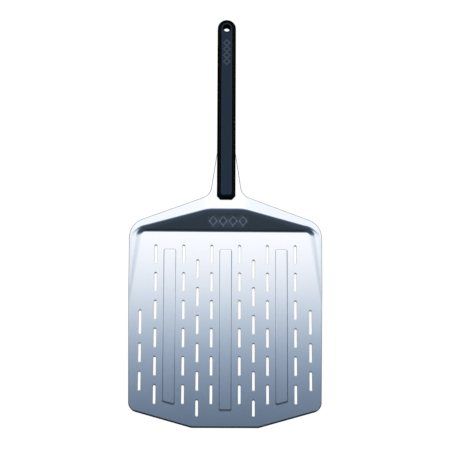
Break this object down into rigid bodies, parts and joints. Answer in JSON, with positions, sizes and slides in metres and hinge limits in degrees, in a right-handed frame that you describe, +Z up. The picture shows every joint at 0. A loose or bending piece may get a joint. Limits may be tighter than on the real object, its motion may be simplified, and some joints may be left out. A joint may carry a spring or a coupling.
{
  "type": "pizza peel",
  "caption": "Perforated pizza peel: a pressed aluminium head with long ribs, a sloping back wall and a raised neck held in a long two-shell black handle with a hanging hole.",
  "frame": {"origin": "middle of the base of the peel's box, on the surface that the head lies on", "axes": "+Z up, away from the surface; +Y along the handle, from the head's front edge to the hanging hole; +X across the head"},
  "size_m": [0.305, 0.6454, 0.0284],
  "materials": {
    "head_metal": "clear anodised, fine lengthwise brushing",
    "shell_plastic": "black glass-filled nylon, satin",
    "inlay_plastic": "slate-blue moulded nylon, fine texture",
    "screw_steel": "black oxide",
    "insert_brass": "machined"
  },
  "bodies": {
    "root": {"blade": "head_metal", "handle_upper_shell": "shell_plastic", "handle_lower_shell": "shell_plastic", "upper_grip_inlay": "inlay_plastic", "lower_grip_inlay": "inlay_plastic", "neck_front_screw": "screw_steel", "neck_rear_screw": "screw_steel", "grip_front_screw": "screw_steel", "grip_middle_screw": "screw_steel", "grip_rear_screw": "screw_steel", "neck_front_insert": "insert_brass", "neck_rear_insert": "insert_brass", "grip_front_insert": "insert_brass", "grip_middle_insert": "insert_brass", "grip_rear_insert": "insert_brass"}
  },
  "joints": []
}
